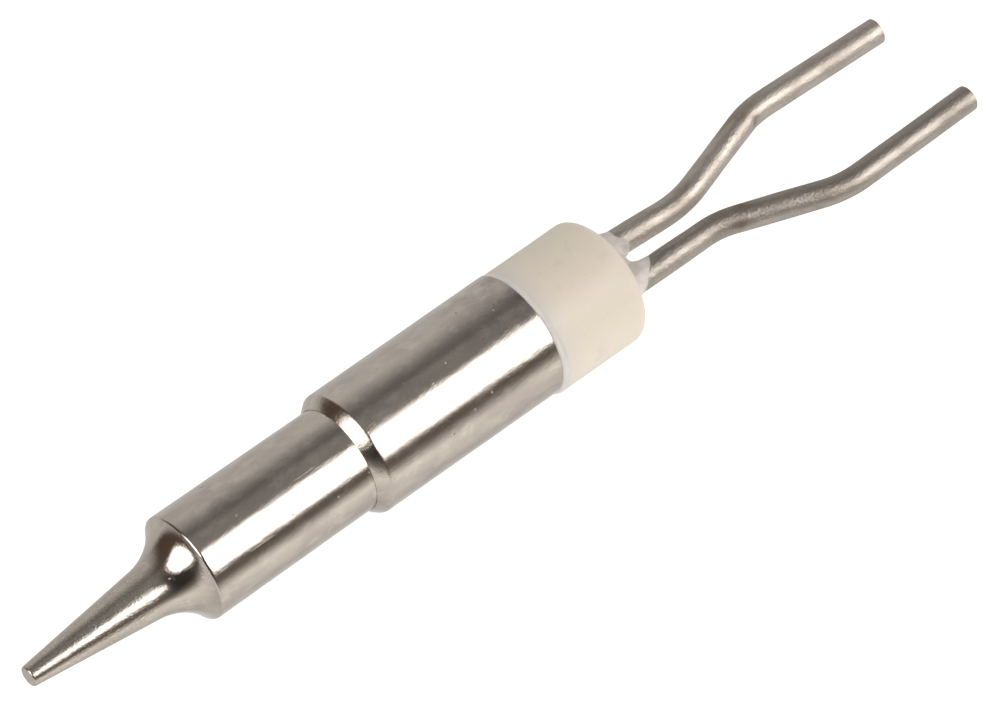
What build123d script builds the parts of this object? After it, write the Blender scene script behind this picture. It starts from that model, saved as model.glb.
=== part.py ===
"""Plug-in heated soldering tip: a plated bit and sleeve, a ceramic base and two bent lead pins.

Frame, in millimetres: X runs along the barrel from the tip (-X) to the leads (+X), Z is up,
and the leads spread in the XY plane. The origin is on the barrel's axis, about midway along the
rear sleeve's straight wall. The near lead is on the -Y side and the far lead on the +Y side.
"""

from build123d import *
from math import acos, asin, atan, atan2, cos, degrees, hypot, pi, radians, sin, tan
import os

# ---- driving dimensions: outside ----------------------------------------------------------
TIP_X = -24.6            # flat working face of the nose
TIP_R = 0.54
TIP_EDGE = 0.12          # rounded edge of the working face
SHOULDER_X = -15.33      # where the front barrel reaches its full size
SHOULDER_ROUND = 0.16    # convex rounding of the shoulder's rim
SHOULDER_ANGLE = 57.5    # slope where the flare meets the rim's rounding
FLARE_R = 3.1            # concave flare between cone and shoulder
FRONT_R = 2.77           # front barrel
RELIEF_X = -6.3          # shallow turning relief between here and the sleeve
RELIEF_R = 2.73
SLEEVE_R = 3.27          # rear sleeve
SLEEVE_FRONT_X = -6.02
SLEEVE_MOUTH_R = 2.85    # the sleeve's mouth clears the front barrel
SLEEVE_CREASE_X = -5.48  # where the sleeve's coned front face meets its rounded edge
SLEEVE_CREASE_R = 3.24
SLEEVE_FULL_X = -5.36    # from here the sleeve is a true cylinder
FACE_BULGE = 0.02        # how far the coned face and the edge behind it are rounded outwards
EDGE_BULGE = 0.009
SLEEVE_REAR_X = 5.16
SLEEVE_TURN = 1.58       # turns its seam, so that its mesh rests on a flat and not on a ridge
BASE_FRONT_R = 3.34      # ceramic base, pressed with a slight draft
BASE_R = 3.36            # and its size where the rear rounding starts
BASE_FRONT_X = 5.34
BASE_REAR_X = 11.16
BASE_ROUND_X = 1.20      # length of the base's rear rounding
BASE_FLAT_R = 0.3        # small flat left in the middle of the rounded back
BASE_SHIFT = -0.12       # the base sits this far off the barrel's axis, along Y

# ---- driving dimensions: leads ------------------------------------------------------------
LEAD_R = 0.68
LEAD_BORE_R = 0.72       # bores through the base
LEAD_Y = 1.27            # half the distance between the bores
LEAD_SHIFT = -0.09       # the two bores sit this far off the barrel's axis, along Y
LEAD_FRONT_X = 0.6       # inner ends, inside the ferrules
LEAD_FOOT_X = 11.2       # where the straight part in the base ends
FOOT_BEND_R = 6.0
# each lead: first bend, second bend and cut end as (x, distance from the axis), then bend radii
FAR_LEAD = [(16.55, 0.85), (23.00, 2.94), (31.32, 2.64)]
FAR_BENDS = [7.0, 5.8]
NEAR_LEAD = [(16.85, 1.43), (22.87, 3.90), (31.34, 3.78)]
NEAR_BENDS = [5.0, 6.1]
LEAD_EDGE = 0.08         # broken edge round each cut end

# ---- driving dimensions: inside -----------------------------------------------------------
SHANK_REAR_X = -1.0      # the bit's hollow shank ends here, inside the sleeve
SLEEVE_BORE_R = 2.57
SLEEVE_MOUTH = 0.3       # depth of the sleeve's mouth, to the step that the bit's shoulder meets
BORE_R = 2.15            # heater bore in the bit
BORE_FRONT_X = -12.5
JOINT_GAP = 0.02         # radial gap taken by the braze between shank and sleeve
FIT_GAP = 0.03           # gap round parts that are slid in
INSULATOR_T = 0.4        # front and rear insulating discs
LINER_T = 0.22           # wall of the insulating liner
CORE_R = 0.90            # ceramic core that the coil is wound on
CORE_BORE_R = 0.32
WIRE_R = 0.22            # resistance wire and return wire
COIL_R = 1.15            # mean radius of the turns
COIL_TURNS = 8           # whole turns
COIL_PITCH = 0.85
COIL_FRONT_X = -10.9
RETURN_BEND_R = 0.45
WIRE_END_X = 0.3         # tail and return wire end here, inside the ferrules
SPIGOT_R = 2.42          # part of the base that sits in the sleeve
SPIGOT_FRONT_X = 2.6
FERRULE_R = 0.92
FERRULE_FRONT_X = -0.6
FERRULE_REAR_X = 2.0
FERRULE_STEP_X = 0.45    # its bore changes here from the wire's size to the lead's
BLOCK_R = 2.52           # terminal block round the ferrules
BLOCK_FRONT_X = -0.8
BLOCK_REAR_X = 2.4
SEAL_R = 1.20            # foot of the cement seal round each lead
SEAL_FRONT_X = 10.4
SEAL_REAR_X = 12.4
CEMENT_DROP = 0.05       # how far the joint's cement stands below the sleeve's wall

# The tail leaves the last turn on a bend that ends in line with the far ferrule.
FAR_Y = LEAD_Y + LEAD_SHIFT
COIL_RISE = (FAR_Y ** 2 - COIL_R ** 2) ** 0.5
COIL_ANGLE = atan(COIL_PITCH / (2 * pi * COIL_R))
TAIL_TURN = pi / 2 - COIL_ANGLE
TAIL_BEND_R = COIL_RISE / (tan(TAIL_TURN / 2) * cos(COIL_ANGLE))
COIL_LENGTH = COIL_PITCH * (COIL_TURNS + 0.5 - acos(COIL_R / FAR_Y) / (2 * pi))
LINER_R = BORE_R - FIT_GAP
LINER_FRONT_X = BORE_FRONT_X + INSULATOR_T
LINER_REAR_X = SHANK_REAR_X - 0.7
CORE_FRONT_X = COIL_FRONT_X + 0.1
CORE_REAR_X = COIL_FRONT_X + COIL_LENGTH + 0.25


def lead_y(side):
    """Y of a lead's bore: side is 1 for the far lead and -1 for the near one."""
    return side * LEAD_Y + LEAD_SHIFT


def bulged(a, b, rise):
    """The middle of the chord from a to b, pushed rise away to its left."""
    length = hypot(b[0] - a[0], b[1] - a[1])
    return ((a[0] + b[0]) / 2 - rise * (b[1] - a[1]) / length,
            (a[1] + b[1]) / 2 + rise * (b[0] - a[0]) / length)


def axis_rod(front_x, rear_x, radius, y=0.0):
    """A solid rod along X."""
    return extrude(Plane((front_x, y, 0), z_dir=(1, 0, 0)) * Circle(radius), rear_x - front_x)


def axis_tube(front_x, rear_x, outer_r, inner_r, y=0.0):
    """A tube along X."""
    return axis_rod(front_x, rear_x, outer_r, y) - axis_rod(front_x, rear_x, inner_r, y)


def turned(edges):
    """A solid of revolution about X from a closed outline of edges in the XY plane."""
    return revolve(make_face(edges), Axis.X)


def wire_along(path, radius):
    """Round wire whose centre follows a path."""
    return sweep(Plane(path @ 0, z_dir=path % 0) * Circle(radius), path=path)


def two_hole(solid, front_x, rear_x, hole_r):
    """A round part with a hole for each wire or ferrule."""
    for side in (-1, 1):
        solid -= axis_rod(front_x - 1, rear_x + 1, hole_r, lead_y(side))
    return solid


def nose_outline():
    """Edges of the nose from the working face to the front barrel, and the cone's angle."""
    slope = radians(SHOULDER_ANGLE)
    rim_x = SHOULDER_X - SHOULDER_ROUND * sin(slope)
    rim_r = FRONT_R - SHOULDER_ROUND * (1 - cos(slope))
    flare_x = rim_x - FLARE_R * sin(slope)
    flare_r = rim_r + FLARE_R * cos(slope)
    cone = atan2(flare_r - TIP_R, flare_x - TIP_X) - asin(
        FLARE_R / hypot(flare_x - TIP_X, flare_r - TIP_R))

    def on_flare(angle):
        return (flare_x + FLARE_R * sin(angle), flare_r - FLARE_R * cos(angle))

    def on_rim(angle):
        return (SHOULDER_X - SHOULDER_ROUND * sin(angle), FRONT_R - SHOULDER_ROUND * (1 - cos(angle)))

    edge = TIP_EDGE

    def on_tip(angle):
        return (TIP_X + edge - edge * sin(angle), TIP_R - edge + edge * cos(angle))

    edges = [
        Line((TIP_X, 0), on_tip(pi / 2)),
        ThreePointArc(on_tip(pi / 2), on_tip((pi / 2 + cone) / 2), on_tip(cone)),
        Line(on_tip(cone), on_flare(cone)),
        ThreePointArc(on_flare(cone), on_flare((cone + slope) / 2), on_flare(slope)),
        ThreePointArc(on_rim(slope), on_rim(slope / 2), on_rim(0)),
    ]
    return edges, degrees(cone)


def soldering_bit():
    """Copper bit: nose, flare, front barrel and hollow shank, turned in one piece and plated."""
    edges, cone = nose_outline()
    print("cone half-angle", round(cone, 2), "degrees")
    shank_r = SLEEVE_BORE_R - JOINT_GAP
    seat_x = SLEEVE_FRONT_X + SLEEVE_MOUTH
    edges += [
        Line((SHOULDER_X, FRONT_R), (RELIEF_X, FRONT_R)),
        Line((RELIEF_X, FRONT_R), (RELIEF_X, RELIEF_R)),
        Line((RELIEF_X, RELIEF_R), (seat_x, RELIEF_R)),
        Line((seat_x, RELIEF_R), (seat_x, shank_r)),
        Line((seat_x, shank_r), (SHANK_REAR_X, shank_r)),
        Line((SHANK_REAR_X, shank_r), (SHANK_REAR_X, BORE_R)),
        Line((SHANK_REAR_X, BORE_R), (BORE_FRONT_X, BORE_R)),
        Line((BORE_FRONT_X, BORE_R), (BORE_FRONT_X, 0)),
        Line((BORE_FRONT_X, 0), (TIP_X, 0)),
    ]
    return turned(edges)


def barrel_sleeve():
    """Rear sleeve, brazed over the bit's shank, with a coned front face and a rounded edge."""
    corner = (SLEEVE_FRONT_X, SLEEVE_MOUTH_R)
    crease = (SLEEVE_CREASE_X, SLEEVE_CREASE_R)
    full = (SLEEVE_FULL_X, SLEEVE_R)
    seat_x = SLEEVE_FRONT_X + SLEEVE_MOUTH
    edge = 0.05
    edges = [
        ThreePointArc(corner, bulged(corner, crease, FACE_BULGE), crease),
        ThreePointArc(crease, bulged(crease, full, EDGE_BULGE), full),
        Line(full, (SLEEVE_REAR_X - edge, SLEEVE_R)),
        Line((SLEEVE_REAR_X - edge, SLEEVE_R), (SLEEVE_REAR_X, SLEEVE_R - edge)),
        Line((SLEEVE_REAR_X, SLEEVE_R - edge), (SLEEVE_REAR_X, SLEEVE_BORE_R)),
        Line((SLEEVE_REAR_X, SLEEVE_BORE_R), (seat_x, SLEEVE_BORE_R)),
        Line((seat_x, SLEEVE_BORE_R), (seat_x, SLEEVE_MOUTH_R)),
        Line((seat_x, SLEEVE_MOUTH_R), corner),
    ]
    return Rot(SLEEVE_TURN, 0, 0) * turned(edges)


def ceramic_base():
    """Base with a spigot for the sleeve, a rounded back and two bores for the leads."""
    round_x = BASE_REAR_X - BASE_ROUND_X
    dome = EllipticalCenterArc((round_x, BASE_FLAT_R), BASE_ROUND_X, BASE_R - BASE_FLAT_R,
                               arc_size=90)
    edge = 0.06
    edges = [
        Line((SPIGOT_FRONT_X, 0), (SPIGOT_FRONT_X, SPIGOT_R)),
        Line((SPIGOT_FRONT_X, SPIGOT_R), (BASE_FRONT_X, SPIGOT_R)),
        Line((BASE_FRONT_X, SPIGOT_R), (BASE_FRONT_X, BASE_FRONT_R - edge)),
        Line((BASE_FRONT_X, BASE_FRONT_R - edge), (BASE_FRONT_X + edge, BASE_FRONT_R)),
        Line((BASE_FRONT_X + edge, BASE_FRONT_R), (round_x, BASE_R)),
        dome,
        Line((BASE_REAR_X, BASE_FLAT_R), (BASE_REAR_X, 0)),
        Line((BASE_REAR_X, 0), (SPIGOT_FRONT_X, 0)),
    ]
    base = Pos(0, BASE_SHIFT, 0) * turned(edges)
    return two_hole(base, SPIGOT_FRONT_X, BASE_REAR_X, LEAD_BORE_R)


def lead_pin(side, bends, radii):
    """One lead pin: straight through the base, then bent outwards and back in line with it."""
    route = [(LEAD_FRONT_X, lead_y(side)), (LEAD_FOOT_X, lead_y(side))]
    route += [(x, side * y) for x, y in bends]
    path = FilletPolyline(*route, radius=[FOOT_BEND_R, *radii])
    wire = wire_along(path, LEAD_R)
    cut = Plane(path @ 1, z_dir=path % 1)
    end = [e for e in wire.edges() if abs(cut.to_local_coords(e.center()).Z) < 1e-4]
    return chamfer(end, LEAD_EDGE)


def lead_seal(side, base, lead):
    """Cement fillet that seals one lead into the base's back."""
    y = lead_y(side)
    height = SEAL_REAR_X - SEAL_FRONT_X
    top_r = LEAD_R + 0.06
    cone = Cone(SEAL_R, top_r, height, align=(Align.CENTER, Align.CENTER, Align.MIN))
    seal = Plane((SEAL_FRONT_X, y, 0), z_dir=(1, 0, 0)) * cone
    inside = axis_rod(SEAL_FRONT_X - 1, BASE_REAR_X + 1, LEAD_BORE_R, y)
    return biggest(seal - base - inside - lead)


def biggest(shape):
    """The largest solid of a shape."""
    return max(shape.solids(), key=lambda s: s.volume)


def base_joint_cement():
    """Ring of cement between sleeve and base, and round the base's spigot."""
    outer = axis_rod(SLEEVE_REAR_X, BASE_FRONT_X, SLEEVE_R - CEMENT_DROP)
    inner = axis_rod(SPIGOT_FRONT_X, SLEEVE_REAR_X, SLEEVE_BORE_R)
    return outer + inner - axis_rod(SPIGOT_FRONT_X - 1, BASE_FRONT_X + 1, SPIGOT_R, BASE_SHIFT)


def front_insulator():
    """Disc that keeps the heater off the bottom of the bore."""
    return axis_rod(BORE_FRONT_X, LINER_FRONT_X, LINER_R)


def insulating_liner():
    """Thin tube between the coil and the bit."""
    return axis_tube(LINER_FRONT_X, LINER_REAR_X, LINER_R, LINER_R - LINER_T)


def heater_core():
    """Round ceramic core with a bore for the return wire."""
    return axis_tube(CORE_FRONT_X, CORE_REAR_X, CORE_R, CORE_BORE_R)


def resistance_coil():
    """Coil of resistance wire, whose rear end turns into a straight tail for the far ferrule."""
    turns = Location((COIL_FRONT_X, 0, 0)) * Rot(90, 0, 0) * Helix(
        COIL_PITCH, COIL_LENGTH, COIL_R, direction=(1, 0, 0))
    profile = Plane(turns @ 0, z_dir=turns % 0) * Circle(WIRE_R)
    coil = sweep(profile, path=turns, is_frenet=True)
    leave, heading = turns @ 1, turns % 1
    settle = leave + (heading + Vector(1, 0, 0)) * (TAIL_BEND_R * tan(TAIL_TURN / 2))
    bend = TangentArc(leave, settle, tangent=heading)
    tail = bend + Line(settle, (WIRE_END_X, settle.Y, settle.Z))
    return coil + wire_along(tail, WIRE_R)


def return_wire():
    """Wire from the coil's front end back through the core to the near ferrule."""
    foot_x = COIL_FRONT_X - 2 * WIRE_R
    route = [(foot_x, -COIL_R), (foot_x, 0), (CORE_REAR_X + 0.35, 0)]
    route += [(LINER_REAR_X - 0.25, lead_y(-1)), (WIRE_END_X, lead_y(-1))]
    return wire_along(FilletPolyline(*route, radius=RETURN_BEND_R), WIRE_R)


def potting_cement():
    """Jacket of cement between the coil and the liner."""
    jacket_r = COIL_R + WIRE_R + 0.01
    return axis_tube(CORE_FRONT_X, CORE_REAR_X, LINER_R - LINER_T - 0.01, jacket_r)


def rear_insulator():
    """Disc with two holes that closes the heater's bore behind the coil."""
    rear_x = LINER_REAR_X + INSULATOR_T
    disc = axis_rod(LINER_REAR_X, rear_x, LINER_R)
    return two_hole(disc, LINER_REAR_X, rear_x, WIRE_R + FIT_GAP)


def terminal_block():
    """Ceramic block with two bores that keeps the ferrules apart inside the sleeve."""
    block = axis_rod(BLOCK_FRONT_X, BLOCK_REAR_X, BLOCK_R)
    return two_hole(block, BLOCK_FRONT_X, BLOCK_REAR_X, FERRULE_R + FIT_GAP)


def crimp_ferrule(side):
    """Ferrule that joins one heater wire to the inner end of a lead."""
    y = lead_y(side)
    ferrule = axis_rod(FERRULE_FRONT_X, FERRULE_REAR_X, FERRULE_R, y)
    ferrule -= axis_rod(FERRULE_FRONT_X - 1, FERRULE_STEP_X, WIRE_R + 0.01, y)
    ferrule -= axis_rod(FERRULE_STEP_X, FERRULE_REAR_X + 1, LEAD_R + 0.01, y)
    return ferrule


def build():
    """Every node of the assembly by name."""
    base = ceramic_base()
    far = lead_pin(1, FAR_LEAD, FAR_BENDS)
    near = lead_pin(-1, NEAR_LEAD, NEAR_BENDS)
    return {
        "soldering_bit": soldering_bit(),
        "barrel_sleeve": barrel_sleeve(),
        "ceramic_base": base,
        "lead_pin_far": far,
        "lead_pin_near": near,
        "lead_seal_far": lead_seal(1, base, far),
        "lead_seal_near": lead_seal(-1, base, near),
        "base_joint_cement": base_joint_cement(),
        "front_insulator_disc": front_insulator(),
        "insulating_liner": insulating_liner(),
        "heater_core": heater_core(),
        "resistance_coil": resistance_coil(),
        "return_wire": return_wire(),
        "potting_cement": potting_cement(),
        "rear_insulator_disc": rear_insulator(),
        "terminal_block": terminal_block(),
        "crimp_ferrule_far": crimp_ferrule(1),
        "crimp_ferrule_near": crimp_ferrule(-1),
    }


os.makedirs("parts", exist_ok=True)
for node, shape in build().items():
    export_step(shape, f"parts/{node}.step")
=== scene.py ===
"""Plug-in heated soldering tip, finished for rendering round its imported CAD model.

Frame: X runs along the barrel from the nose (-X) to the two leads (+X), Z is up, and the
origin is on the barrel's axis, about midway along the rear sleeve. Outlines are written in
millimetres and become metres when a mesh is made.
"""
import math

import bmesh
import bpy
import numpy as np
from mathutils import Matrix, Vector, noise


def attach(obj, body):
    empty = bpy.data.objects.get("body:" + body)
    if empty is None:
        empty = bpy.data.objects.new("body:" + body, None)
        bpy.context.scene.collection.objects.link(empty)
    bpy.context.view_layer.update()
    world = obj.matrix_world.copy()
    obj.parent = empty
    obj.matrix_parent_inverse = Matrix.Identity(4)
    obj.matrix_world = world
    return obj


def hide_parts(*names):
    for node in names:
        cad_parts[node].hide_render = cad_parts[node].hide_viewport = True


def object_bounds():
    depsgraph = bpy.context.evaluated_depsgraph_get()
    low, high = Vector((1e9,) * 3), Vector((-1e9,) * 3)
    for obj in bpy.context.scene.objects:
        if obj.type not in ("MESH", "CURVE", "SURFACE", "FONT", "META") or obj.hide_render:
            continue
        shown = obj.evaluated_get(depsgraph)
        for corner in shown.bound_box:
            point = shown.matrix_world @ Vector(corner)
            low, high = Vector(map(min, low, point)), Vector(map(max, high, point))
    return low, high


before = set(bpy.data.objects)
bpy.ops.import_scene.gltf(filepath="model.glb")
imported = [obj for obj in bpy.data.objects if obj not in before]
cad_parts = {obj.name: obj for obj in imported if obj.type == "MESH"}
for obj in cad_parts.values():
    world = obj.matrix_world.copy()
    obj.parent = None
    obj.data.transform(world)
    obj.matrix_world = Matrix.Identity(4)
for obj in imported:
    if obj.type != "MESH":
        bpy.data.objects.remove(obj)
CAD_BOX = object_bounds()

MM = 0.001

# ---- driving dimensions, in millimetres ----
# They are the CAD model's, except that the front barrel and the sleeve taper slightly where its
# walls are plain, the relief is shallower, the sleeve's mouth is narrower, and the base's radii
# allow for its uneven skin.
TIP_X = -24.6
TIP_R = 0.54
TIP_EDGE = 0.12
TIP_FLAT_R = 0.25
SHOULDER_X = -15.33
SHOULDER_ROUND = 0.16
SHOULDER_ANGLE = math.radians(57.5)
FLARE_R = 3.1
FRONT_R = 2.79
FRONT_REAR_R = 2.755
RELIEF_X = -6.3
RELIEF_R = 2.745
RELIEF_RUN = 0.1
BORE_R = 2.15
BORE_FRONT_X = -12.5
SHANK_R = 2.55
SHANK_REAR_X = -1.0
SLEEVE_R = 3.262
SLEEVE_REAR_R = 3.285
SLEEVE_FRONT_X = -6.02
SLEEVE_MOUTH_R = 2.752
SLEEVE_LIP_R = 2.768
SLEEVE_CREASE = (-5.48, 3.235)
SLEEVE_FULL_X = -5.36
SLEEVE_REAR_X = 5.16
SLEEVE_BORE_R = 2.57
SLEEVE_SEAT_X = -5.72
BASE_FRONT_R = 3.345
BASE_R = 3.365
BASE_FRONT_X = 5.34
BASE_REAR_X = 11.16
BASE_ROUND_X = 1.20
BASE_FLAT_R = 0.3
SMALL_EDGE = 0.05                   # rounding of the sleeve's rear and the base's front edge
BASE_SHIFT = -0.12                  # the base sits this far off the barrel's axis, along Y
SPIGOT_R = 2.42
SPIGOT_FRONT_X = 2.6
LEAD_R = 0.68
LEAD_BORE_R = 0.72
LEAD_Y = 1.27
LEAD_SHIFT = -0.09                  # the two bores sit this far off it
LEAD_FRONT_X = 0.6
LEAD_FOOT_X = 11.2
FOOT_BEND_R = 6.0
LEAD_EDGE = 0.08
END_RING = 0.55                     # share of the wire's radius left outside its ends' inner ring
FAR_LEAD = [(16.55, 0.85), (23.00, 2.94), (31.32, 2.64)]
FAR_BENDS = [7.0, 5.8]
NEAR_LEAD = [(16.85, 1.43), (22.87, 3.90), (31.34, 3.78)]
NEAR_BENDS = [5.0, 6.1]

# ---- fineness of the meshes ----
ROUND_STEPS = 192
WIRE_STEPS = 48
WIRE_STEP = 0.12
SHARP_ANGLE = math.radians(38)
SUPPORT = 0.05

# ---- viewpoint ----
VIEW_TILT = math.radians(23.5)      # how far the barrel leans away from square to the view
VIEW_TURN = math.radians(34.8)      # how far the plane of the leads is turned about the barrel
BARREL_SLOPE = math.radians(34.95)  # how steeply the barrel climbs across the picture
CAMERA_FOOT = Vector((-0.45, 0.0, 0.0))
CAMERA_DISTANCE = 282.0
AIM_RIGHT = 3.374                   # the picture's middle, measured from the camera's foot
AIM_UP = 2.018
LENS = 216.0
SENSOR = 36.0


def view_axes():
    """Unit vectors towards the camera, to the picture's right and to its top."""
    along = Vector((1, 0, 0))
    lifted = Vector((0, -math.sin(VIEW_TURN), math.cos(VIEW_TURN)))
    side = Vector((0, -math.cos(VIEW_TURN), -math.sin(VIEW_TURN)))
    toward = math.cos(VIEW_TILT) * lifted - math.sin(VIEW_TILT) * along
    run = math.cos(VIEW_TILT) * along + math.sin(VIEW_TILT) * lifted
    right = math.cos(BARREL_SLOPE) * run + math.sin(BARREL_SLOPE) * side
    up = math.sin(BARREL_SLOPE) * run - math.cos(BARREL_SLOPE) * side
    return toward, right, up


def add_camera():
    toward, right, up = view_axes()
    place = CAMERA_FOOT + toward * CAMERA_DISTANCE
    aim = CAMERA_FOOT + right * AIM_RIGHT + up * AIM_UP
    back = (place - aim).normalized()
    top = (up - up.dot(back) * back).normalized()
    level = top.cross(back)
    data = bpy.data.cameras.new("camera")
    data.lens = LENS
    data.sensor_width = SENSOR
    data.clip_start = 0.01
    data.clip_end = 20.0
    camera = bpy.data.objects.new("camera", data)
    bpy.context.scene.collection.objects.link(camera)
    turn = Matrix((level, top, back)).transposed().to_4x4()
    camera.matrix_world = Matrix.Translation(place * MM) @ turn
    bpy.context.scene.camera = camera


# ---- node trees ----
class Tree:
    """Short calls that add nodes to a material's or the world's node tree."""

    def __init__(self, owner):
        owner.use_nodes = True
        self.tree = owner.node_tree
        self.tree.nodes.clear()

    def add(self, kind, **settings):
        node = self.tree.nodes.new(kind)
        for key, value in settings.items():
            setattr(node, key, value)
        return node

    def put(self, socket, value):
        """Links a socket to another, or sets it to a plain value."""
        if isinstance(value, bpy.types.NodeSocket):
            self.tree.links.new(value, socket)
        else:
            socket.default_value = value

    def math(self, operation, a, b=0.0, c=0.0, clamp=False):
        node = self.add("ShaderNodeMath", operation=operation, use_clamp=clamp)
        for socket, value in zip(node.inputs, (a, b, c)):
            self.put(socket, value)
        return node.outputs[0]

    def dot(self, vector, axis):
        node = self.add("ShaderNodeVectorMath", operation="DOT_PRODUCT")
        self.put(node.inputs[0], vector)
        node.inputs[1].default_value = tuple(axis)
        return node.outputs["Value"]

    def step(self, value, low, high, start=0.0, end=1.0):
        """Smooth step of value between low and high."""
        node = self.add("ShaderNodeMapRange", interpolation_type="SMOOTHSTEP")
        for name, number in (("Value", value), ("From Min", low), ("From Max", high),
                             ("To Min", start), ("To Max", end)):
            self.put(node.inputs[name], number)
        return node.outputs["Result"]

    def curve(self, value, stops, low, high):
        """Brightness that follows (place, brightness) stops in straight lines."""
        node = self.add("ShaderNodeValToRGB")
        ramp = node.color_ramp
        places = [(place - low) / (high - low) for place, _ in stops]
        for index, (place, (_, bright)) in enumerate(zip(places, stops)):
            if index < 2:
                element = ramp.elements[index]
                element.position = place
            else:
                element = ramp.elements.new(place)
            element.color = (bright, bright, bright, 1.0)
        scaled = self.step_linear(value, low, high)
        self.put(node.inputs["Fac"], scaled)
        return node.outputs["Color"]

    def step_linear(self, value, low, high, start=0.0, end=1.0):
        node = self.add("ShaderNodeMapRange")
        for name, number in (("Value", value), ("From Min", low), ("From Max", high),
                             ("To Min", start), ("To Max", end)):
            self.put(node.inputs[name], number)
        return node.outputs["Result"]

    def mix(self, factor, a, b):
        """Colour mix."""
        node = self.add("ShaderNodeMix", data_type="RGBA")
        for socket, value in zip((node.inputs[0], node.inputs[6], node.inputs[7]), (factor, a, b)):
            if isinstance(value, tuple):
                value = (*value, 1.0)
            self.put(socket, value)
        return node.outputs[2]

    def place(self, stretch=(1, 1, 1), attribute=None):
        """Position in millimetres on the piece, stretched along its axes."""
        if attribute:
            source = self.add("ShaderNodeAttribute", attribute_name=attribute).outputs["Vector"]
            scale = 1.0
        else:
            source = self.add("ShaderNodeTexCoord").outputs["Object"]
            scale = 1.0 / MM
        node = self.add("ShaderNodeMapping")
        self.put(node.inputs["Vector"], source)
        node.inputs["Scale"].default_value = [scale / s for s in stretch]
        return node.outputs["Vector"]

    def axis_place(self, axis):
        """Position in millimetres along one axis of the object."""
        split = self.add("ShaderNodeSeparateXYZ")
        self.put(split.inputs[0], self.place())
        return split.outputs[axis]

    def noise(self, vector, size, detail=2.0, rough=0.5, warp=0.0):
        """Noise whose blobs are about size millimetres wide, from 0 to 1."""
        node = self.add("ShaderNodeTexNoise")
        self.put(node.inputs["Vector"], vector)
        node.inputs["Scale"].default_value = 1.0 / size
        node.inputs["Detail"].default_value = detail
        node.inputs["Roughness"].default_value = rough
        node.inputs["Distortion"].default_value = warp
        return node.outputs["Fac"]

    def spots(self, vector, size, reach, low, high):
        """Scattered round spots, 1 at their middle and 0 between them."""
        node = self.add("ShaderNodeTexVoronoi")
        self.put(node.inputs["Vector"], vector)
        node.inputs["Scale"].default_value = 1.0 / size
        near = self.step(node.outputs["Distance"], reach, reach * 0.4)
        pick = self.add("ShaderNodeSeparateColor")
        self.put(pick.inputs[0], node.outputs["Color"])
        chosen = self.step(pick.outputs[0], low, high)
        return self.math("MULTIPLY", near, chosen)

    def bump(self, height, depth, below=None):
        """Bump whose full height is depth millimetres."""
        node = self.add("ShaderNodeBump")
        self.put(node.inputs["Height"], height)
        node.inputs["Distance"].default_value = depth * MM
        node.inputs["Strength"].default_value = 1.0
        if below is not None:
            self.put(node.inputs["Normal"], below)
        return node.outputs["Normal"]

    def surface(self, **values):
        """Principled surface; names are its sockets with spaces as underscores."""
        node = self.add("ShaderNodeBsdfPrincipled")
        for key, value in values.items():
            if isinstance(value, tuple) and len(value) == 3 and "Color" in key:
                value = (*value, 1.0)
            self.put(node.inputs[key.replace("_", " ")], value)
        output = self.add("ShaderNodeOutputMaterial")
        self.put(output.inputs["Surface"], node.outputs["BSDF"])
        return node


def new_material(name):
    material = bpy.data.materials.new(name)
    return material, Tree(material)


# ---- materials ----
NICKEL = (0.72, 0.635, 0.545)
STAINED_SIDE = (0.0, 0.82, 0.57)    # the rear of the sleeve is stained most on this side


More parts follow.
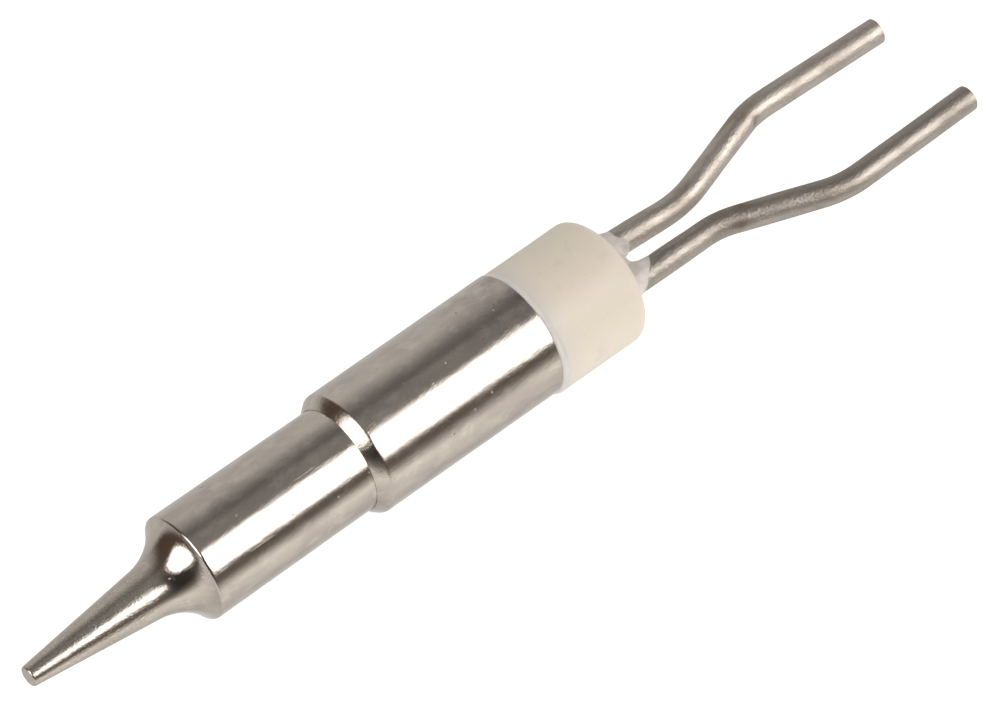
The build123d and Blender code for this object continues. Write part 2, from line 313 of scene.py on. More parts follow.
def nickel_plate():
    """Bright nickel over a turned surface: grain, fine waves, smudges, scratches and pits."""
    material, t = new_material("nickel_plate")
    where = t.place()
    along = t.axis_place(0)
    nose = t.step(along, -16.4, -18.2)
    rear = t.step(along, 0.0, 4.6)
    turning = t.noise(t.place((0.05, 40, 40)), 1.0, 3.0, 0.6)
    grain = t.noise(t.place((1.2, 1, 1)), 0.075, 2.0, 0.6)
    satin = t.math("MULTIPLY", t.noise(where, 0.085, 2.0, 0.6), nose)
    waves = t.noise(t.place((1.8, 1, 1)), 0.26, 2.0, 0.55)
    swell = t.noise(t.place((1.0, 1.6, 1.6)), 1.3, 1.0)
    scratch_a = t.noise(t.place((7.0, 0.10, 0.5)), 0.5, 1.0)
    scratch_b = t.noise(t.place((0.06, 3.0, 3.0)), 0.5, 1.0)
    worn = t.step(t.noise(where, 1.1, 2.0), 0.45, 0.62)
    pits = t.spots(where, 0.75, 0.09, 0.80, 0.85)
    specks = t.spots(where, 0.40, 0.12, 0.66, 0.78)
    smudge = t.noise(t.place((2.0, 1.0, 1.0)), 1.2, 2.5, 0.5)
    bloom = t.noise(t.place((1.5, 1.0, 1.0)), 0.75, 4.0, 0.62)
    stain = t.noise(t.place((1.3, 1.0, 1.0)), 0.70, 4.0, 0.60)
    facet = t.math("MULTIPLY", t.step(along, -6.10, -6.00), t.step(along, -5.40, -5.46))
    rough_grain = t.math("MULTIPLY_ADD", nose, 0.4, t.math("MULTIPLY_ADD", rear, 0.5, 1.0))
    rough_grain = t.math("MULTIPLY_ADD", facet, 0.8, rough_grain)
    normal = t.bump(swell, 0.006)
    normal = t.bump(waves, 0.0030, normal)
    normal = t.bump(t.math("MULTIPLY", grain, rough_grain), 0.0050, normal)
    normal = t.bump(satin, 0.0125, normal)
    normal = t.bump(turning, 0.0005, normal)
    normal = t.bump(t.math("MULTIPLY", t.step(scratch_a, 0.66, 0.74), worn), 0.0012, normal)
    normal = t.bump(t.math("MULTIPLY", t.step(scratch_b, 0.70, 0.76), worn), 0.0012, normal)
    normal = t.bump(specks, 0.012, normal)
    normal = t.bump(t.math("SUBTRACT", 1.0, pits), 0.010, normal)
    tone = t.mix(t.step(smudge, 0.36, 0.66), NICKEL, (0.64, 0.555, 0.49))
    tone = t.mix(t.step(bloom, 0.46, 0.70, 0.0, 0.85), tone, (0.80, 0.715, 0.615))
    stained = t.math("MULTIPLY", rear, t.step(t.dot(where, STAINED_SIDE), -0.9, 1.0, 0.0, 0.6))
    cloud = t.math("MULTIPLY", t.step(stain, 0.34, 0.68), stained)
    tone = t.mix(cloud, tone, (0.44, 0.372, 0.350))
    tone = t.mix(t.math("MULTIPLY", nose, 0.5), tone, (0.62, 0.535, 0.44))
    tone = t.mix(t.step(satin, 0.50, 0.68, 0.0, 0.6), tone, (0.90, 0.83, 0.74))
    tone = t.mix(t.math("MULTIPLY", specks, 0.5), tone, (0.90, 0.85, 0.78))
    tone = t.mix(t.math("MULTIPLY", pits, 0.7), tone, (0.16, 0.13, 0.10))
    rough = t.step(smudge, 0.35, 0.75, 0.10, 0.20)
    rough = t.math("MULTIPLY_ADD", facet, 0.04, rough)
    t.surface(Base_Color=tone, Metallic=1.0, Roughness=rough, Normal=normal)
    return material


def lead_nickel():
    """Drawn nickel wire: lines along it, satin grain, duller patches, a brown heat tint and painted
    shade that darkens the near lead towards its upper side.
    """
    material, t = new_material("lead_nickel")
    flat = t.place(attribute="straightened")
    lines = t.noise(t.place((9, 0.16, 0.16), "straightened"), 0.45, 3.0, 0.65)
    grain = t.noise(t.place((1.1, 1, 1), "straightened"), 0.12, 2.0, 0.65)
    patches = t.noise(t.place((1.8, 0.8, 0.8), "straightened"), 1.2, 3.0, 0.6, 0.4)
    specks = t.spots(flat, 0.30, 0.16, 0.55, 0.70)
    heat = t.add("ShaderNodeAttribute", attribute_name="warmth").outputs["Fac"]
    painted_top_shade = t.add("ShaderNodeAttribute", attribute_name="painted_top_shade").outputs["Fac"]
    normal = t.bump(patches, 0.008)
    normal = t.bump(lines, 0.002, normal)
    normal = t.bump(grain, 0.036, normal)
    normal = t.bump(specks, 0.014, normal)
    tone = t.mix(t.step(patches, 0.42, 0.66), (0.63, 0.558, 0.490), (0.525, 0.458, 0.396))
    tone = t.mix(t.step(lines, 0.54, 0.72, 0.0, 0.6), tone, (0.42, 0.36, 0.31))
    tone = t.mix(t.step(grain, 0.52, 0.68, 0.0, 0.5), tone, (0.74, 0.67, 0.60))
    tone = t.mix(t.math("MULTIPLY", specks, 0.5), tone, (0.72, 0.66, 0.60))
    # painted shade: darkens the near lead towards its upper side
    tone = t.mix(t.math("MULTIPLY", painted_top_shade, 0.34), tone, (0.07, 0.055, 0.045))
    tint = t.math("MULTIPLY", heat, t.step(patches, 0.36, 0.58, 0.40, 1.0))
    tone = t.mix(tint, tone, (0.235, 0.160, 0.108))
    rough = t.step(patches, 0.30, 0.70, 0.38, 0.50)
    t.surface(Base_Color=tone, Metallic=1.0, Roughness=rough, Normal=normal)
    return material


def base_ceramic():
    """Cream ceramic: faint yellow and pink clouds, tiny pores, greyer beside the cement."""
    material, t = new_material("base_ceramic")
    where = t.place()
    clouds = t.noise(where, 2.4, 3.0, 0.55, 0.3)
    blush = t.noise(t.place((1.3, 1, 1)), 1.7, 2.0)
    pores = t.spots(where, 0.32, 0.16, 0.70, 0.80)
    marks = t.noise(t.place((1.5, 1, 1)), 0.9, 3.0, 0.6, 0.5)
    skin = t.noise(where, 0.28, 4.0, 0.6)
    ragged = t.math("MULTIPLY_ADD", t.noise(where, 0.8, 3.0), 1.2, t.axis_place(0))
    tone = t.mix(t.step(clouds, 0.38, 0.62), (0.742, 0.650, 0.545), (0.722, 0.652, 0.524))
    tone = t.mix(t.step(blush, 0.45, 0.70, 0.0, 0.7), tone, (0.742, 0.637, 0.556))
    tone = t.mix(t.step(marks, 0.56, 0.74, 0.0, 0.35), tone, (0.610, 0.554, 0.467))
    tone = t.mix(t.step(ragged, 7.2, 5.8, 0.0, 0.75), tone, (0.682, 0.616, 0.560))
    tone = t.mix(t.math("MULTIPLY", pores, 0.25), tone, (0.46, 0.415, 0.34))
    normal = t.bump(skin, 0.006)
    normal = t.bump(t.math("SUBTRACT", 1.0, pores), 0.008, normal)
    rough = t.step(clouds, 0.35, 0.70, 0.40, 0.52)
    t.surface(Base_Color=tone, Roughness=rough, Normal=normal, Subsurface_Weight=0.3,
              Subsurface_Radius=(0.9, 0.7, 0.5), Subsurface_Scale=0.0006)
    return material


def seal_cement():
    """Pinkish grey cement, slightly see-through and glossy where it wetted the metal."""
    material, t = new_material("seal_cement")
    where = t.place()
    clouds = t.noise(where, 0.6, 3.0, 0.6)
    grains = t.spots(where, 0.13, 0.30, 0.45, 0.70)
    skin = t.noise(where, 0.11, 3.0, 0.6)
    tone = t.mix(t.step(clouds, 0.35, 0.68), (0.70, 0.632, 0.578), (0.585, 0.527, 0.484))
    tone = t.mix(t.step(t.axis_place(0), 7.0, 6.0, 0.0, 0.6), tone, (0.83, 0.758, 0.695))
    tone = t.mix(t.math("MULTIPLY", grains, 0.35), tone, (0.74, 0.69, 0.64))
    normal = t.bump(skin, 0.012)
    rough = t.step(clouds, 0.3, 0.7, 0.30, 0.50)
    t.surface(Base_Color=tone, Roughness=rough, Normal=normal, Subsurface_Weight=0.5,
              Subsurface_Radius=(0.9, 0.8, 0.7), Subsurface_Scale=0.0004)
    return material


def inner_ceramic():
    """White sintered ceramic of the heater's core, liner and discs."""
    material, t = new_material("inner_ceramic")
    where = t.place()
    grain = t.noise(where, 0.12, 4.0, 0.6)
    clouds = t.noise(where, 1.5, 2.0)
    tone = t.mix(clouds, (0.80, 0.78, 0.74), (0.72, 0.69, 0.63))
    t.surface(Base_Color=tone, Roughness=t.step(grain, 0.3, 0.7, 0.5, 0.7),
              Normal=t.bump(grain, 0.006))
    return material


def inner_cement():
    """Grey potting cement with sand grains."""
    material, t = new_material("inner_cement")
    where = t.place()
    grain = t.noise(where, 0.09, 4.0, 0.7)
    sand = t.spots(where, 0.16, 0.35, 0.4, 0.6)
    tone = t.mix(sand, (0.50, 0.48, 0.44), (0.66, 0.63, 0.57))
    t.surface(Base_Color=tone, Roughness=0.85, Normal=t.bump(grain, 0.02))
    return material


def resistance_alloy():
    """Resistance wire with a dark grey-blue oxide."""
    material, t = new_material("resistance_alloy")
    bloom = t.noise(t.place(), 0.4, 3.0, 0.6)
    tone = t.mix(t.step(bloom, 0.35, 0.65), (0.20, 0.19, 0.19), (0.30, 0.26, 0.22))
    t.surface(Base_Color=tone, Metallic=1.0, Roughness=t.step(bloom, 0.3, 0.7, 0.35, 0.55),
              Normal=t.bump(bloom, 0.004))
    return material


def ferrule_nickel():
    """Satin nickel tube, slightly stained."""
    material, t = new_material("ferrule_nickel")
    stain = t.noise(t.place(), 0.7, 3.0, 0.6)
    lines = t.noise(t.place((8, 0.1, 0.1)), 1.0, 2.0)
    tone = t.mix(stain, (0.60, 0.57, 0.52), (0.50, 0.46, 0.40))
    t.surface(Base_Color=tone, Metallic=1.0, Roughness=t.step(stain, 0.3, 0.7, 0.25, 0.40),
              Normal=t.bump(lines, 0.003))
    return material


# ---- mesh tools ----
def link_mesh(name, vertices, faces, material, smooth=True):
    """Makes an object from millimetre points."""
    mesh = bpy.data.meshes.new(name)
    mesh.from_pydata([tuple(float(c) * MM for c in v) for v in vertices], [], faces)
    mesh.update()
    work = bmesh.new()
    work.from_mesh(mesh)
    bmesh.ops.recalc_face_normals(work, faces=work.faces)
    work.to_mesh(mesh)
    work.free()
    mesh.materials.append(material)
    if smooth:
        mesh.shade_smooth()
        mesh.set_sharp_from_angle(angle=SHARP_ANGLE)
    piece = bpy.data.objects.new(name, mesh)
    bpy.context.scene.collection.objects.link(piece)
    return piece


def supported(outline, closed):
    """The outline with a point beside each corner of its long runs, so shading stays flat."""
    points = []
    count = len(outline)
    runs = count if closed else count - 1
    for index in range(runs):
        a, b = outline[index], outline[(index + 1) % count]
        points.append(a)
        length = math.dist(a, b)
        if length > 4 * SUPPORT:
            for share in (SUPPORT / length, 1 - SUPPORT / length):
                points.append((a[0] + (b[0] - a[0]) * share, a[1] + (b[1] - a[1]) * share))
    if not closed:
        points.append(outline[-1])
    return points


def divided(a, b, length):
    """Points from a to b, without b, at most length apart."""
    steps = max(1, math.ceil(math.dist(a, b) / length))
    return [(a[0] + (b[0] - a[0]) * i / steps, a[1] + (b[1] - a[1]) * i / steps)
            for i in range(steps)]


def lathe(name, outline, material, closed=False, shift=0.0, waver=None):
    """Spins an (x, r) outline in mm about a line along X, shift away from the axis along Y.

    An open outline starts and ends on that line."""
    steps = ROUND_STEPS
    outline = supported(outline, closed)
    rings = outline if closed else outline[1:-1]
    vertices = []
    for x, r in rings:
        for turn in range(steps):
            angle = 2 * math.pi * turn / steps
            dx, dr = waver(x, r, angle) if waver else (0.0, 0.0)
            wide = r + dr
            vertices.append((x + dx, shift + wide * math.cos(angle), wide * math.sin(angle)))
    faces = []
    spans = len(rings) if closed else len(rings) - 1
    for ring in range(spans):
        here = ring * steps
        after = (ring + 1) % len(rings) * steps
        for turn in range(steps):
            beside = (turn + 1) % steps
            faces.append((here + turn, here + beside, after + beside, after + turn))
    if not closed:
        for (x, _), ring in ((outline[0], 0), (outline[-1], len(rings) - 1)):
            vertices.append((x, shift, 0.0))
            pole = len(vertices) - 1
            for turn in range(steps):
                beside = (turn + 1) % steps
                faces.append((pole, ring * steps + turn, ring * steps + beside))
    return link_mesh(name, vertices, faces, material)


def arc(centre, radius, start, end, steps):
    """Points on an arc from one angle to another, both ends included."""
    return [(centre[0] + radius * math.cos(start + (end - start) * i / steps),
             centre[1] + radius * math.sin(start + (end - start) * i / steps))
            for i in range(steps + 1)]


def arc_through(a, b, c, steps):
    """Points on the arc from a through b to c."""
    (ax, ay), (bx, by), (cx, cy) = a, b, c
    d = 2 * (ax * (by - cy) + bx * (cy - ay) + cx * (ay - by))
    ux = ((ax**2 + ay**2) * (by - cy) + (bx**2 + by**2) * (cy - ay)
          + (cx**2 + cy**2) * (ay - by)) / d
    uy = ((ax**2 + ay**2) * (cx - bx) + (bx**2 + by**2) * (ax - cx)
          + (cx**2 + cy**2) * (bx - ax)) / d
    start = math.atan2(ay - uy, ax - ux)
    end = math.atan2(cy - uy, cx - ux)
    if end - start > math.pi:
        end -= 2 * math.pi
    if start - end > math.pi:
        end += 2 * math.pi
    return arc((ux, uy), math.dist(a, (ux, uy)), start, end, steps)


def bulged(a, b, rise):
    """The middle of the chord from a to b, pushed rise away to its left."""
    length = math.dist(a, b)
    return ((a[0] + b[0]) / 2 - rise * (b[1] - a[1]) / length,
            (a[1] + b[1]) / 2 + rise * (b[0] - a[0]) / length)


# ---- turned pieces ----
def nose_outline():
    """(x, r) points from the middle of the working face to the front barrel."""
    slope = SHOULDER_ANGLE
    rim_x = SHOULDER_X - SHOULDER_ROUND * math.sin(slope)
    rim_r = FRONT_R - SHOULDER_ROUND * (1 - math.cos(slope))
    flare = (rim_x - FLARE_R * math.sin(slope), rim_r + FLARE_R * math.cos(slope))
    reach = math.hypot(flare[0] - TIP_X, flare[1] - TIP_R)
    cone = math.atan2(flare[1] - TIP_R, flare[0] - TIP_X) - math.asin(FLARE_R / reach)
    quarter = math.pi / 2
    concave = arc(flare, FLARE_R, cone - quarter, slope - quarter, 40)
    rim = arc((SHOULDER_X, FRONT_R - SHOULDER_ROUND), SHOULDER_ROUND, quarter + slope, quarter, 16)
    tip = arc((TIP_X + TIP_EDGE, TIP_R - TIP_EDGE), TIP_EDGE, math.pi, quarter + cone, 6)
    side = divided(tip[-1], concave[0], 0.4)
    return [(TIP_X, 0.0), (TIP_X, TIP_FLAT_R)] + tip[:-1] + side + concave + rim[1:]


def soldering_bit(material):
    """Bit with its nose, flare, front barrel, shank and bore."""
    outline = nose_outline()
    outline += divided((SHOULDER_X, FRONT_R), (RELIEF_X, FRONT_REAR_R), 0.5)[1:]
    outline += [(RELIEF_X, FRONT_REAR_R), (RELIEF_X + RELIEF_RUN, RELIEF_R), (SLEEVE_SEAT_X, RELIEF_R),
                (SLEEVE_SEAT_X, SHANK_R), (SHANK_REAR_X, SHANK_R), (SHANK_REAR_X, BORE_R),
                (BORE_FRONT_X, BORE_R), (BORE_FRONT_X, 0.0)]
    return lathe("bit", outline, material)


def barrel_sleeve(material):
    """Sleeve with its coned front face, rounded where the cone meets the straight wall."""
    corner = (SLEEVE_FRONT_X, SLEEVE_LIP_R)
    full = (SLEEVE_FULL_X, SLEEVE_R)
    edge = SMALL_EDGE
    outline = arc_through(corner, bulged(corner, SLEEVE_CREASE, 0.02), SLEEVE_CREASE, 12)
    outline += arc_through(SLEEVE_CREASE, bulged(SLEEVE_CREASE, full, 0.009), full, 6)[1:]
    outline += divided((SLEEVE_FULL_X + 0.2, SLEEVE_R), (SLEEVE_REAR_X - edge, SLEEVE_REAR_R), 0.5)
    outline += arc((SLEEVE_REAR_X - edge, SLEEVE_REAR_R - edge), edge, math.pi / 2, 0, 5)
    outline += [(SLEEVE_REAR_X, SLEEVE_BORE_R), (SLEEVE_SEAT_X, SLEEVE_BORE_R),
                (SLEEVE_SEAT_X, SLEEVE_MOUTH_R), (SLEEVE_FRONT_X + 0.02, SLEEVE_MOUTH_R)]
    return lathe("sleeve", outline, material, closed=True)


def base_outline_rear():
    """Elliptical back edge of the base, from its side to its flat back."""
    centre_x = BASE_REAR_X - BASE_ROUND_X
    steps = 36
    angles = [math.pi / 2 * i / steps for i in range(steps + 1)]
    return [(centre_x + BASE_ROUND_X * math.sin(a), BASE_FLAT_R + (BASE_R - BASE_FLAT_R) * math.cos(a))
            for a in angles]


def ceramic_base(material):
    """Base with its spigot, rounded back and two lead bores cut through it."""
    edge = SMALL_EDGE
    outline = [(SPIGOT_FRONT_X, 0.0), (SPIGOT_FRONT_X, SPIGOT_R), (BASE_FRONT_X, SPIGOT_R)]
    outline += arc((BASE_FRONT_X + edge, BASE_FRONT_R - edge), edge, math.pi, math.pi / 2, 6)
    outline += divided((BASE_FRONT_X + 0.3, BASE_FRONT_R), (BASE_REAR_X - BASE_ROUND_X, BASE_R), 0.4)
    outline += base_outline_rear()
    outline += [(BASE_REAR_X, 0.0)]

    def uneven(x, r, angle):
        if r < SPIGOT_R + 0.1:
            return 0.0, 0.0
        spot = Vector((x * 0.35, math.cos(angle) * 1.1, math.sin(angle) * 1.1))
        return 0.0, 0.012 * noise.noise(spot) - 0.012

    base = lathe("base", outline, material, shift=BASE_SHIFT, waver=uneven)
    for side in (-1, 1):
        cut_bore(base, side * LEAD_Y + LEAD_SHIFT)
    base.data.shade_smooth()
    base.data.set_sharp_from_angle(angle=SHARP_ANGLE)
    return base


def cut_bore(piece, y):
    """Cuts one lead bore right through the base."""
    rim = [(y + LEAD_BORE_R * math.cos(a), LEAD_BORE_R * math.sin(a))
           for a in (2 * math.pi * i / WIRE_STEPS for i in range(WIRE_STEPS))]
    ends = (SPIGOT_FRONT_X - 1, BASE_REAR_X + 1)
    vertices = [(x, a, b) for x in ends for a, b in rim]
    faces = [tuple(range(WIRE_STEPS)), tuple(range(WIRE_STEPS, 2 * WIRE_STEPS))]
    faces += [(i, (i + 1) % WIRE_STEPS, WIRE_STEPS + (i + 1) % WIRE_STEPS, WIRE_STEPS + i)
              for i in range(WIRE_STEPS)]
    drill = link_mesh("drill", vertices, faces, piece.data.materials[0])
    cut = piece.modifiers.new("bore", "BOOLEAN")
    cut.operation = "DIFFERENCE"
    cut.solver = "EXACT"
    cut.object = drill
    bpy.context.view_layer.update()
    evaluated = piece.evaluated_get(bpy.context.evaluated_depsgraph_get())
    finished = bpy.data.meshes.new_from_object(evaluated)
    piece.modifiers.clear()
    piece.data = finished
    bpy.data.objects.remove(drill)


def joint_cement(material):
    """Band of cement squeezed out between sleeve and base, uneven round its edge."""
    front = SLEEVE_REAR_X - 0.02
    rear = BASE_FRONT_X + 0.05
    crown = BASE_FRONT_R - 0.012
    outline = [(front, SPIGOT_R + 0.15), (front, SLEEVE_REAR_R - 0.03)]
    outline += arc_through((front + 0.02, SLEEVE_REAR_R - 0.01), ((front + rear) / 2, crown),
                           (rear, BASE_FRONT_R - 0.009), 10)
    outline += [(rear, SPIGOT_R + 0.15)]

    def ragged(x, r, angle):
        if r < SLEEVE_R - 0.1:
            return 0.0, 0.0
        drift = BASE_SHIFT * (x - front) / (rear - front) * math.cos(angle)
        spot = Vector((x, math.cos(angle) * 3.0, math.sin(angle) * 3.0))
        fine = Vector((x, math.cos(angle) * 14.0, math.sin(angle) * 14.0))
        return 0.04 * noise.noise(fine) * (x > BASE_FRONT_X), drift + 0.012 * noise.noise(spot)

    return lathe("joint_cement", outline, material, closed=True, waver=ragged)


# ---- leads ----
# Thickness changes (x, length, share), plier marks (x, length, direction, spread, depth) and
# heat tints (x, length, direction, spread, strength) along each lead.
FAR_SWELLS = [(13.0, 2.0, 0.03), (19.8, 1.6, -0.02)]
FAR_DENTS = [(22.7, 0.30, 3.05, 0.5, 0.08), (16.2, 1.0, 0.0, 0.9, 0.03)]
FAR_HEATS = [(22.6, 0.30, 2.95, 0.40, 1.0), (16.4, 1.4, 0.0, 9.0, 0.35), (21.5, 1.6, 1.2, 1.2, 0.4)]
NEAR_SWELLS = [(15.6, 1.2, -0.03), (19.8, 1.6, 0.02)]
NEAR_DENTS = [(22.9, 0.7, 1.6, 0.8, 0.05), (16.6, 0.8, 3.1, 0.8, 0.04)]
NEAR_HEATS = [(18.15, 0.50, 1.2, 0.65, 1.0), (17.7, 0.42, 2.80, 0.38, 0.85), (16.8, 0.7, 0.8, 0.6, 0.4),
              (17.8, 2.6, 0.0, 9.0, 0.08), (22.6, 1.2, 0.0, 9.0, 0.3)]


def bent_route(corners, radii):
    """Points along straight runs joined by arcs, about WIRE_STEP apart, in the XY plane."""
    points = [Vector(corners[0])]
    for index, radius in enumerate(radii, start=1):
        before, corner, after = (Vector(c) for c in corners[index - 1:index + 2])
        into = (corner - before).normalized()
        out = (after - corner).normalized()
        turn = into.angle_signed(out)
        reach = radius * math.tan(abs(turn) / 2)
        start = corner - into * reach
        points += spaced(points[-1], start)
        normal = Vector((into.y, -into.x)) * (1 if turn > 0 else -1)
        centre = start + normal * radius
        steps = max(2, math.ceil(radius * abs(turn) / WIRE_STEP))
        for i in range(1, steps + 1):
            spoke = start - centre
            a = -turn * i / steps
            points.append(centre + Vector((spoke.x * math.cos(a) - spoke.y * math.sin(a),
                                           spoke.x * math.sin(a) + spoke.y * math.cos(a))))
    points += spaced(points[-1], Vector(corners[-1]))
    return points


def spaced(start, end):
    """Points from start to end, without start."""
    steps = max(1, math.ceil((end - start).length / WIRE_STEP))
    return [start.lerp(end, i / steps) for i in range(1, steps + 1)]


def bell(value, middle, width):
    """Smooth bump that is 1 at its middle."""
    return math.exp(-((value - middle) / width) ** 2)


def lead_pin(name, side, bends, radii, swells, dents, heats, material):
    """Bent lead whose thickness, plier marks and heat tint are given along X."""
    foot_y = side * LEAD_Y + LEAD_SHIFT
    corners = [(LEAD_FRONT_X, foot_y), (LEAD_FOOT_X, foot_y)]
    corners += [(x, side * y) for x, y in bends]
    route = bent_route(corners, [FOOT_BEND_R, *radii])
    stations = lead_stations(route)
    vertices, flat, heat, painted_top_shade = [], [], [], []
    for x_run, point, tangent, shrink in stations:
        across = Vector((-tangent.y, tangent.x))
        swell = 1 + sum(size * bell(point.x, x, width) for x, width, size in swells)
        for turn in range(WIRE_STEPS):
            angle = 2 * math.pi * turn / WIRE_STEPS
            radius = LEAD_R * swell
            for x, width, toward, spread, depth in dents:
                off = (angle - toward + math.pi) % (2 * math.pi) - math.pi
                radius -= depth * bell(point.x, x, width) * bell(off, 0.0, spread)
            spot = Vector((x_run * 0.8, math.cos(angle) * 1.3, math.sin(angle) * 1.3))
            radius += 0.006 * noise.noise(spot)
            radius -= shrink
            c, s = radius * math.cos(angle), radius * math.sin(angle)
            vertices.append((point.x + across.x * c, point.y + across.y * c, s))
            flat.append((x_run, c + 10 * side, s))
            warm = 0.0
            for x, width, toward, spread, strength in heats:
                off = (angle - toward + math.pi) % (2 * math.pi) - math.pi
                warm += strength * bell(point.x, x, width) * bell(off, 0.0, spread)
            heat.append(min(1.0, warm))
            # painted shade on the near lead only: strongest at its upper side, none underneath
            painted_top_shade.append((side < 0) * (0.5 + 0.5 * math.cos(angle - 1.1)))
    count = len(stations)
    faces = []
    for ring in range(count - 1):
        for turn in range(WIRE_STEPS):
            beside = (turn + 1) % WIRE_STEPS
            a, b = ring * WIRE_STEPS, (ring + 1) * WIRE_STEPS
            faces.append((a + turn, a + beside, b + beside, b + turn))
    for ring in (0, count - 1):
        _, point, tangent, _ = stations[ring]
        vertices.append((point.x, point.y, 0.0))
        flat.append((0.0, 10.0 * side, 0.0))
        heat.append(0.0)
        painted_top_shade.append(0.0)
        pole = len(vertices) - 1
        for turn in range(WIRE_STEPS):
            faces.append((pole, ring * WIRE_STEPS + turn, ring * WIRE_STEPS + (turn + 1) % WIRE_STEPS))
    piece = link_mesh(name, vertices, faces, material)
    keep_attribute(piece, "straightened", "FLOAT_VECTOR", "vector", flat)
    keep_attribute(piece, "warmth", "FLOAT", "value", heat)
    keep_attribute(piece, "painted_top_shade", "FLOAT", "value", painted_top_shade)
    return piece


def lead_stations(route):
    """(length so far, point, direction, how much smaller the wire is) along a route."""
    stations = []
    run = 0.0
    for index, point in enumerate(route):
        before = route[max(index - 1, 0)]
        after = route[min(index + 1, len(route) - 1)]
        run += (point - before).length
        stations.append((run, point, (after - before).normalized(), 0.0))
    run, point, tangent, _ = stations.pop()
    steps = 5
    for i in range(steps + 1):
        a = math.pi / 2 * i / steps
        back = LEAD_EDGE * (1 - math.sin(a))
        stations.append((run - back, point - tangent * back, tangent, LEAD_EDGE * (1 - math.cos(a))))
    stations.append((run, point, tangent, LEAD_R * END_RING))
    return stations


def keep_attribute(piece, name, kind, field, values):
    """Stores one value for each vertex under a name that the material reads."""
    layer = piece.data.attributes.new(name, kind, "POINT")
    flat = np.array(values, dtype=np.float32).ravel()
    layer.data.foreach_set(field, flat)


# ---- cement by an implicit surface ----
def surface_net(name, field, low, high, step, material):
    """Mesh of the surface where field(x, y, z), negative inside, is zero."""
    axes = [np.arange(a, b + step, step) for a, b in zip(low, high)]
    values = field(*np.meshgrid(*axes, indexing="ij"))
    size = np.array(values.shape) - 1

    def corner(array, offset):
        return array[tuple(slice(o, o + n) for o, n in zip(offset, size))]

    total = np.zeros((*size, 3))
    hits = np.zeros(size)
    offsets = [(i, j, k) for i in (0, 1) for j in (0, 1) for k in (0, 1)]
    for offset in offsets:
        for axis in range(3):
            if offset[axis]:
                continue
            other = tuple(o + (a == axis) for a, o in enumerate(offset))
            f0, f1 = corner(values, offset), corner(values, other)
            cross = (f0 < 0) != (f1 < 0)
            share = np.where(cross, f0 / np.where(cross, f0 - f1, 1.0), 0.0)
            for a in range(3):
                total[..., a] += np.where(cross, offset[a] + (share if a == axis else 0.0), 0.0)
            hits += cross
    cells = np.argwhere(hits > 0)
    index = np.full(size, -1)
    index[hits > 0] = np.arange(len(cells))
    middle = total[hits > 0] / hits[hits > 0][:, None]
    vertices = np.array(low) + step * (cells + middle)
    faces = []
    inside = values < 0
    for axis in range(3):
        u, v = [a for a in range(3) if a != axis]
        ahead = np.take(inside, range(1, inside.shape[axis]), axis)
        here = np.take(inside, range(inside.shape[axis] - 1), axis)
        for spot in np.argwhere(ahead != here):
            if spot[u] == 0 or spot[v] == 0 or spot[u] >= size[u] or spot[v] >= size[v]:
                continue
            ring = []
            for du, dv in ((0, 0), (1, 0), (1, 1), (0, 1)):
                cell = spot.copy()
                cell[u] -= du
                cell[v] -= dv
                ring.append(int(index[tuple(cell)]))
            faces.append(tuple(ring))
    return link_mesh(name, vertices, faces, material)


def blend_min(a, b, reach):
    """Smooth union of two distances."""
    share = np.clip(0.5 + 0.5 * (b - a) / reach, 0, 1)
    return b + (a - b) * share - reach * share * (1 - share)


# Cement round each lead: side, height of its collar, of its peak, the peak's direction and how
# narrow it is, thickness.
LEAD_SEALS = ((1, 1.15, 2.95, -0.55, 2.2, 0.21), (-1, 0.30, 1.58, 0.75, 1.2, 0.11))
PUDDLE_X = 11.05                    # the puddle between the leads is an ellipsoid
PUDDLE_Z = 0.05
PUDDLE_SIZE = (1.02, 1.75, 0.85)
PUDDLE_BLEND = 0.45                 # how widely it runs into the base's back
FILLET_BLEND = 0.34                 # and the cement round the leads into it
SEAL_LIMIT = (2.6, 2.6, 1.9)        # half sizes of the ellipsoid that all of it stays in
SEAL_BOX = ((9.4, -2.7, -2.0), (13.9, 2.7, 2.0))
SEAL_STEP = 0.05


def ball(x, y, z, size):
    """How far out a point is from an ellipsoid round the origin: 0 on it, negative inside."""
    return np.sqrt((x / size[0])**2 + (y / size[1])**2 + (z / size[2])**2) - 1


def seal_field(x, y, z):
    """Distance, negative inside, of the cement round both leads and the puddle between them."""
    radius = np.hypot(y - BASE_SHIFT, z)
    centre_x = BASE_REAR_X - BASE_ROUND_X
    over = np.maximum(radius - BASE_FLAT_R, 0) / (BASE_R - BASE_FLAT_R)
    dome_x = centre_x + BASE_ROUND_X * np.sqrt(np.clip(1 - over**2, 0.0, 1))
    dome = (x - dome_x) * 0.8 + 0.03
    puddle = 0.8 * ball(x - PUDDLE_X, y - LEAD_SHIFT, z - PUDDLE_Z, PUDDLE_SIZE)
    shape = blend_min(puddle, dome, PUDDLE_BLEND)
    for side, collar, peak, lean, narrow, thick in LEAD_SEALS:
        off_y = (y - side * LEAD_Y - LEAD_SHIFT) * side
        distance = np.hypot(off_y, z)
        angle = np.arctan2(z, -off_y)
        facing = 0.5 + 0.5 * np.cos(angle - lean)
        height = BASE_REAR_X + collar + (peak - collar) * facing**narrow
        film = thick * np.clip((height - x) / 0.7, -1.0, 1.0)
        wall = distance - LEAD_R - film
        shape = blend_min(wall, shape, FILLET_BLEND)
        shape = np.where(x > height + 0.12, np.maximum(shape, 0.02), shape)
    ripple = 0.02 * np.sin(3.1 * x + 2.3 * y) * np.cos(2.7 * z - 1.9 * y)
    return np.maximum(shape + ripple, ball(x - LEAD_FOOT_X, y, z, SEAL_LIMIT))


def lead_cement(material):
    """Cement puddle that seals both leads into the back of the base."""
    return surface_net("lead_cement", seal_field, *SEAL_BOX, SEAL_STEP, material)


